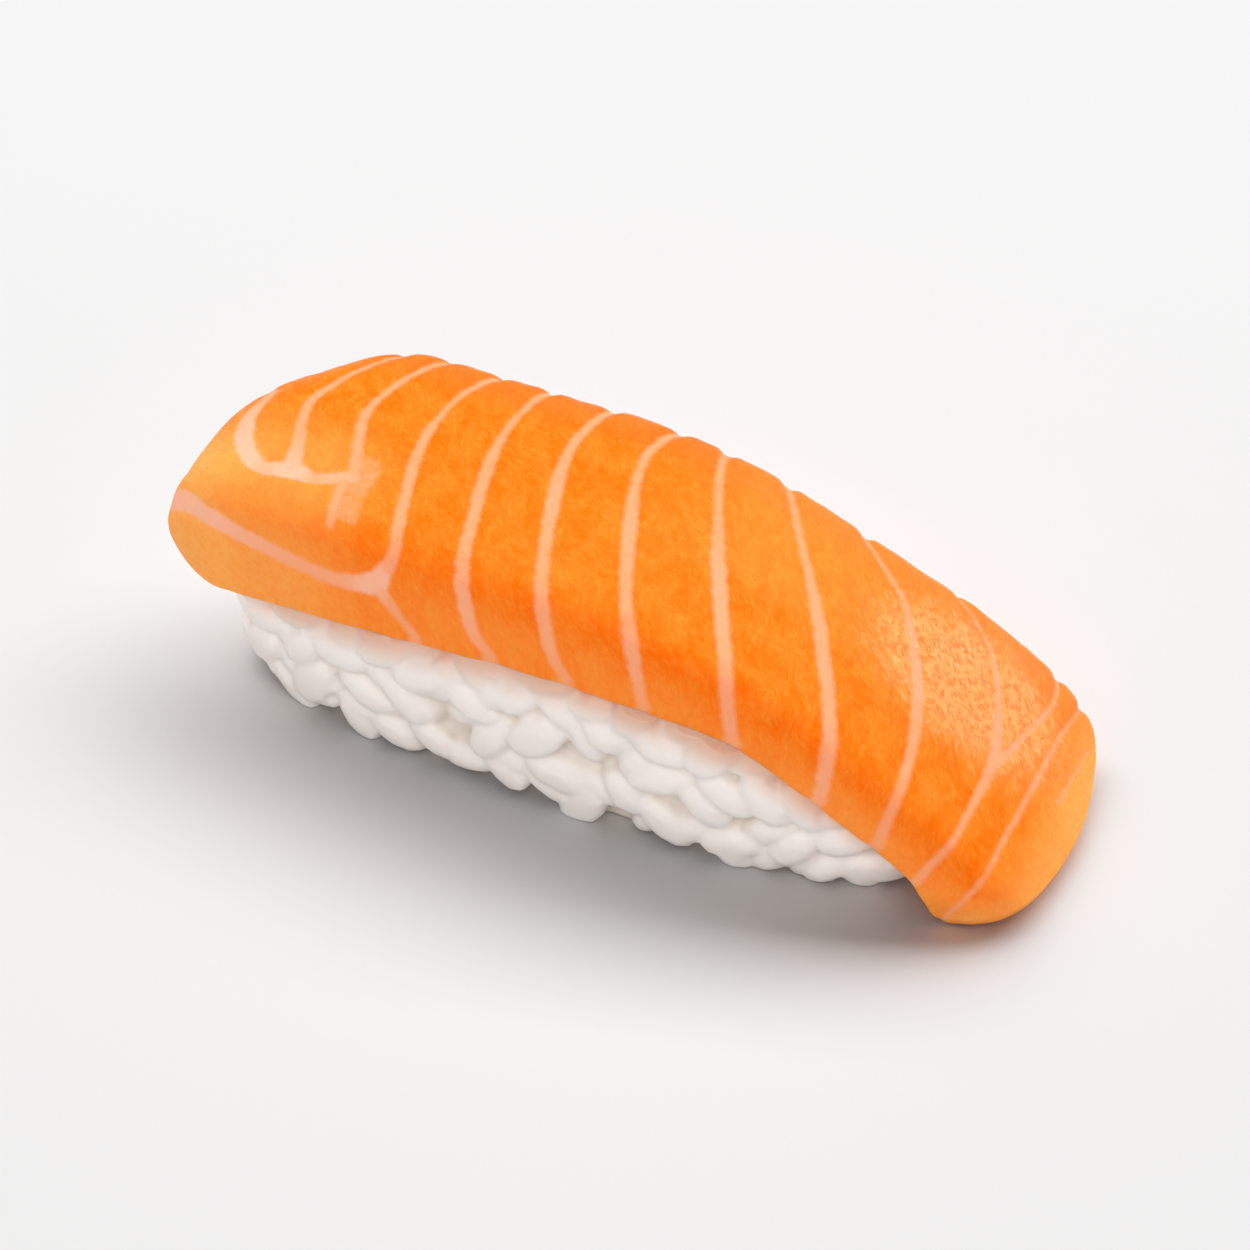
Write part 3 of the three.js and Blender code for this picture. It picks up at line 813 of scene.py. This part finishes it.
# Painted shade: the rice is darker in the crevices between grains, from this depth inside the wall
PAINTED_CREVICE_SHADE = (0.5, 1.6)      # millimetres inside the wall
# The salmon's oil soaked into the rice, with painted bounce light and shade from the slice, from
# this height above its rim
OIL_AND_PAINTED_BOUNCE = (-4.2, 0.2)       # millimetres above the rim


def mound_half_sizes(height):
    """Half the length and width of the mound at a height; it tucks in towards the plate"""
    low = 1 - np.clip(height / MOUND["height"], 0, 1)
    long = MOUND["half_length"] * (1 - END_TUCK["share"] * low ** END_TUCK["power"])
    wide = MOUND["half_width"] * (1 - SIDE_TUCK["share"] * low ** SIDE_TUCK["power"])
    return long, wide


def mound_wall(turn, height, inset):
    """A place on the wall of the mound; inset moves it inwards"""
    long, wide = mound_half_sizes(height)

    def squared(value):
        return np.sign(value) * abs(value) ** (2 / SQUARENESS)
    return Vector((
        MOUND["x"] + (long - inset) * squared(cos(turn)),
        MOUND["y"] + (wide - inset) * squared(sin(turn)),
        height,
    ))


def past_wall(places):
    """How far places lie outside the wall of the mound, negative inside, and the way out"""
    half_sizes = np.stack(mound_half_sizes(places[:, 2]), axis=-1)
    across = (places[:, :2] - (MOUND["x"], MOUND["y"])) / half_sizes
    reach = (abs(across) ** SQUARENESS).sum(axis=1) ** (1 / SQUARENESS)
    slope = np.sign(across) * (abs(across) / reach[:, None]) ** (SQUARENESS - 1) / half_sizes
    steep = np.linalg.norm(slope, axis=1)
    return (reach - 1) / steep, slope / steep[:, None]


def places_of(heap):
    """The places of its vertices, in millimetres"""
    return np.array([vertex.co for vertex in heap.verts]) / MM


def add_core(heap):
    made = bmesh.ops.create_cone(
        heap, cap_ends=True, segments=CORE_SIDES, radius1=1, radius2=1, depth=1,
    )["verts"]
    upright = {edge for vertex in made for edge in vertex.link_edges
               if edge.verts[0].co.z != edge.verts[1].co.z}
    bmesh.ops.subdivide_edges(heap, edges=list(upright), cuts=CORE_RINGS - 1, use_grid_fill=True)
    for vertex in heap.verts:
        height = (vertex.co.z + 0.5) * CORE_TOP
        turn = np.arctan2(vertex.co.y, vertex.co.x)
        vertex.co = mound_wall(turn, height, CORE_INSET) * MM


draw = np.random.default_rng(RICE_SEED)


def draw_grain(layer):
    """A random grain of a layer: its centre, the ways along, beside and out of it, size and bend"""
    turn = draw.uniform(0, tau)
    height = draw.uniform(GRAIN_LOWEST, MOUND["height"])
    sink = draw.uniform(*layer["sinks"])
    twist = layer["turn"] * draw.uniform(-1, 1)
    tip = GRAIN_TIP * draw.uniform(-1, 1)
    size = draw.uniform(*GRAIN_SIZES)
    bend = GRAIN_BEND * draw.uniform(-1, 1)
    before, after = (mound_wall(turn + step, height, sink) for step in (-WALL_STEP, WALL_STEP))
    along = (after - before).normalized()
    out = Vector((along.y, -along.x, 0))
    along.rotate(Matrix.Rotation(twist, 3, out))
    side = out.cross(along)
    along.rotate(Matrix.Rotation(tip, 3, side))
    return mound_wall(turn, height, sink), (along, side, along.cross(side)), size, bend


def grain_distance(centre, axes, other, other_axes):
    """How far apart two grains are, counted in sizes of the one that reaches further"""
    return min((axes @ (other - centre)).length, (other_axes @ (other - centre)).length)


def add_grain(heap, centre, ways, size, bend):
    """One plump grain, a little bent, lying along the wall"""
    made = bmesh.ops.create_icosphere(heap, subdivisions=2, radius=0.5)["verts"]
    for vertex in made:
        vertex.co.z += bend * (2 * vertex.co.x) ** 2
    turned = Matrix(ways).transposed().to_4x4()
    sized = Matrix.Diagonal(Vector(GRAIN) * size).to_4x4()
    placed = Matrix.Scale(MM, 4) @ Matrix.Translation(centre)
    bmesh.ops.transform(heap, verts=made, matrix=placed @ turned @ sized)


slice_tree = BVHTree.FromObject(salmon, bpy.context.evaluated_depsgraph_get())


def underside_over(x, y):
    """Height of the slice's underside over a place on the plate, or None beside it, in metres"""
    hit = slice_tree.ray_cast(Vector((x, y, -1 * MM)), Vector((0, 0, 1)))[0]
    return hit.z if hit else None


def lower_rim(part, across):
    """Places on the lower rim of the slice"""
    return drape(*flat_place(part, across), part, 1.0, 0.0)


along_side = np.linspace(0, 1, RIM_STEPS["side"])
across_end = np.linspace(-1, 1, RIM_STEPS["end"])
rim_places = np.vstack(
    [lower_rim(along_side, np.full_like(along_side, side)) for side in (-1, 1)]
    + [lower_rim(np.full_like(across_end, end), across_end) for end in (0, 1)]
)


def nearest_rim(place):
    """Height of the slice's lower rim nearest to a place, and how far off it is"""
    away = np.hypot(rim_places[:, 0] - place.x, rim_places[:, 1] - place.y)
    return rim_places[away.argmin(), 2], away.min()


heap = bmesh.new()
add_core(heap)
for layer in GRAIN_LAYERS:
    laid = []
    for _ in range(GRAIN_TRIES):
        centre, ways, size, bend = draw_grain(layer)
        axes = Matrix([way / extent for way, extent in zip(ways, GRAIN)])
        below_rim = centre.z <= nearest_rim(centre)[0] - GRAIN_BELOW_RIM
        nearest = layer["spacing"] * size
        if below_rim and all(grain_distance(centre, axes, *grain) >= nearest for grain in laid):
            laid.append((centre, axes))
            add_grain(heap, centre, ways, size, bend)
places = places_of(heap)
past, way_out = past_wall(places)
places[:, :2] -= way_out * (1 - LEFT_STANDING) * np.maximum(past, 0)[:, None]
for vertex, place in zip(heap.verts, places):
    vertex.co = Vector(place) * MM

rice_finish, tree = new_finish("cooked rice")
RICE = tint(243, 235, 229)
# Painted shade in the crevices between grains
RICE_PAINTED_CREVICE_SHADE = tint(224, 212, 200)
# The salmon's oil in the rice, with painted bounce light and shade from the slice
RICE_OIL_AND_PAINTED_BOUNCE = tint(224, 178, 152)
CLOUDS_SHOWN = (0.2, 0.8, 0.7, 1.1)
in_rice = add_node(tree, "ShaderNodeTexCoord").outputs["Object"]


def rice_noise(waves, detail):
    """Soft noise with so many waves to a metre"""
    return add_node(
        tree, "ShaderNodeTexNoise", Vector=in_rice, Scale=waves, Detail=detail,
    ).outputs["Fac"]


# Painted shade in the crevices, broken into soft clouds
deep = times(attribute("painted_crevice_shade"), spread(rice_noise(260.0, 3.0), *CLOUDS_SHOWN))
colour = blend_colours(deep, RICE, RICE_PAINTED_CREVICE_SHADE)
# Salmon oil with painted bounce light and shade near the slice's rim
colour = blend_colours(attribute("oil_and_painted_bounce"), colour, RICE_OIL_AND_PAINTED_BOUNCE)
bump = add_node(
    tree, "ShaderNodeBump", Height=rice_noise(900.0, 2.0), Strength=0.25, Distance=0.2 * MM,
)
show(tree, add_node(
    tree, "ShaderNodeBsdfPrincipled",
    Base_Color=colour, Roughness=0.42, IOR=1.4,
    Subsurface_Weight=0.5, Subsurface_Radius=(1.0, 0.85, 0.7), Subsurface_Scale=1.1 * MM,
    Coat_Weight=0.15, Coat_Roughness=0.25, Normal=bump.outputs[0],
))

rough_heap = as_object("rough heap", heap, rice_finish)
fuse = rough_heap.modifiers.new("fuse", "REMESH")
fuse.mode = "VOXEL"
fuse.voxel_size = FUSING * MM
soften = rough_heap.modifiers.new("soften", "SMOOTH")
soften.factor = 0.5
soften.iterations = FUSE_PASSES
fused = bpy.data.meshes.new_from_object(
    rough_heap.evaluated_get(bpy.context.evaluated_depsgraph_get())
)
bpy.data.objects.remove(rough_heap)

heap = bmesh.new()
heap.from_mesh(fused)
bpy.data.meshes.remove(fused)
rims = []
for vertex in heap.verts:
    rim, away = nearest_rim(vertex.co / MM)
    underside = underside_over(vertex.co.x, vertex.co.y)
    if underside is None:
        highest = rim - BESIDE_RIM * away
    elif away < RIM_ZONE:
        highest = rim + INTO_SLICE / 2
    else:
        highest = underside / MM + INTO_SLICE
    vertex.co.z = max(min(vertex.co.z, highest * MM), 0)
    rims.append(rim)
places = places_of(heap)
past, _ = past_wall(places)

rice = as_object("rice", heap, rice_finish)
# Painted shade in the crevices
keep_values(rice.data, "painted_crevice_shade", ease(-past, *PAINTED_CREVICE_SHADE))
# Salmon oil with painted bounce light and shade near the rim
keep_values(rice.data, "oil_and_painted_bounce", ease(places[:, 2] - rims, *OIL_AND_PAINTED_BOUNCE))
piece_only.objects.link(rice)
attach(rice, "root")
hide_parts("rice_mound")
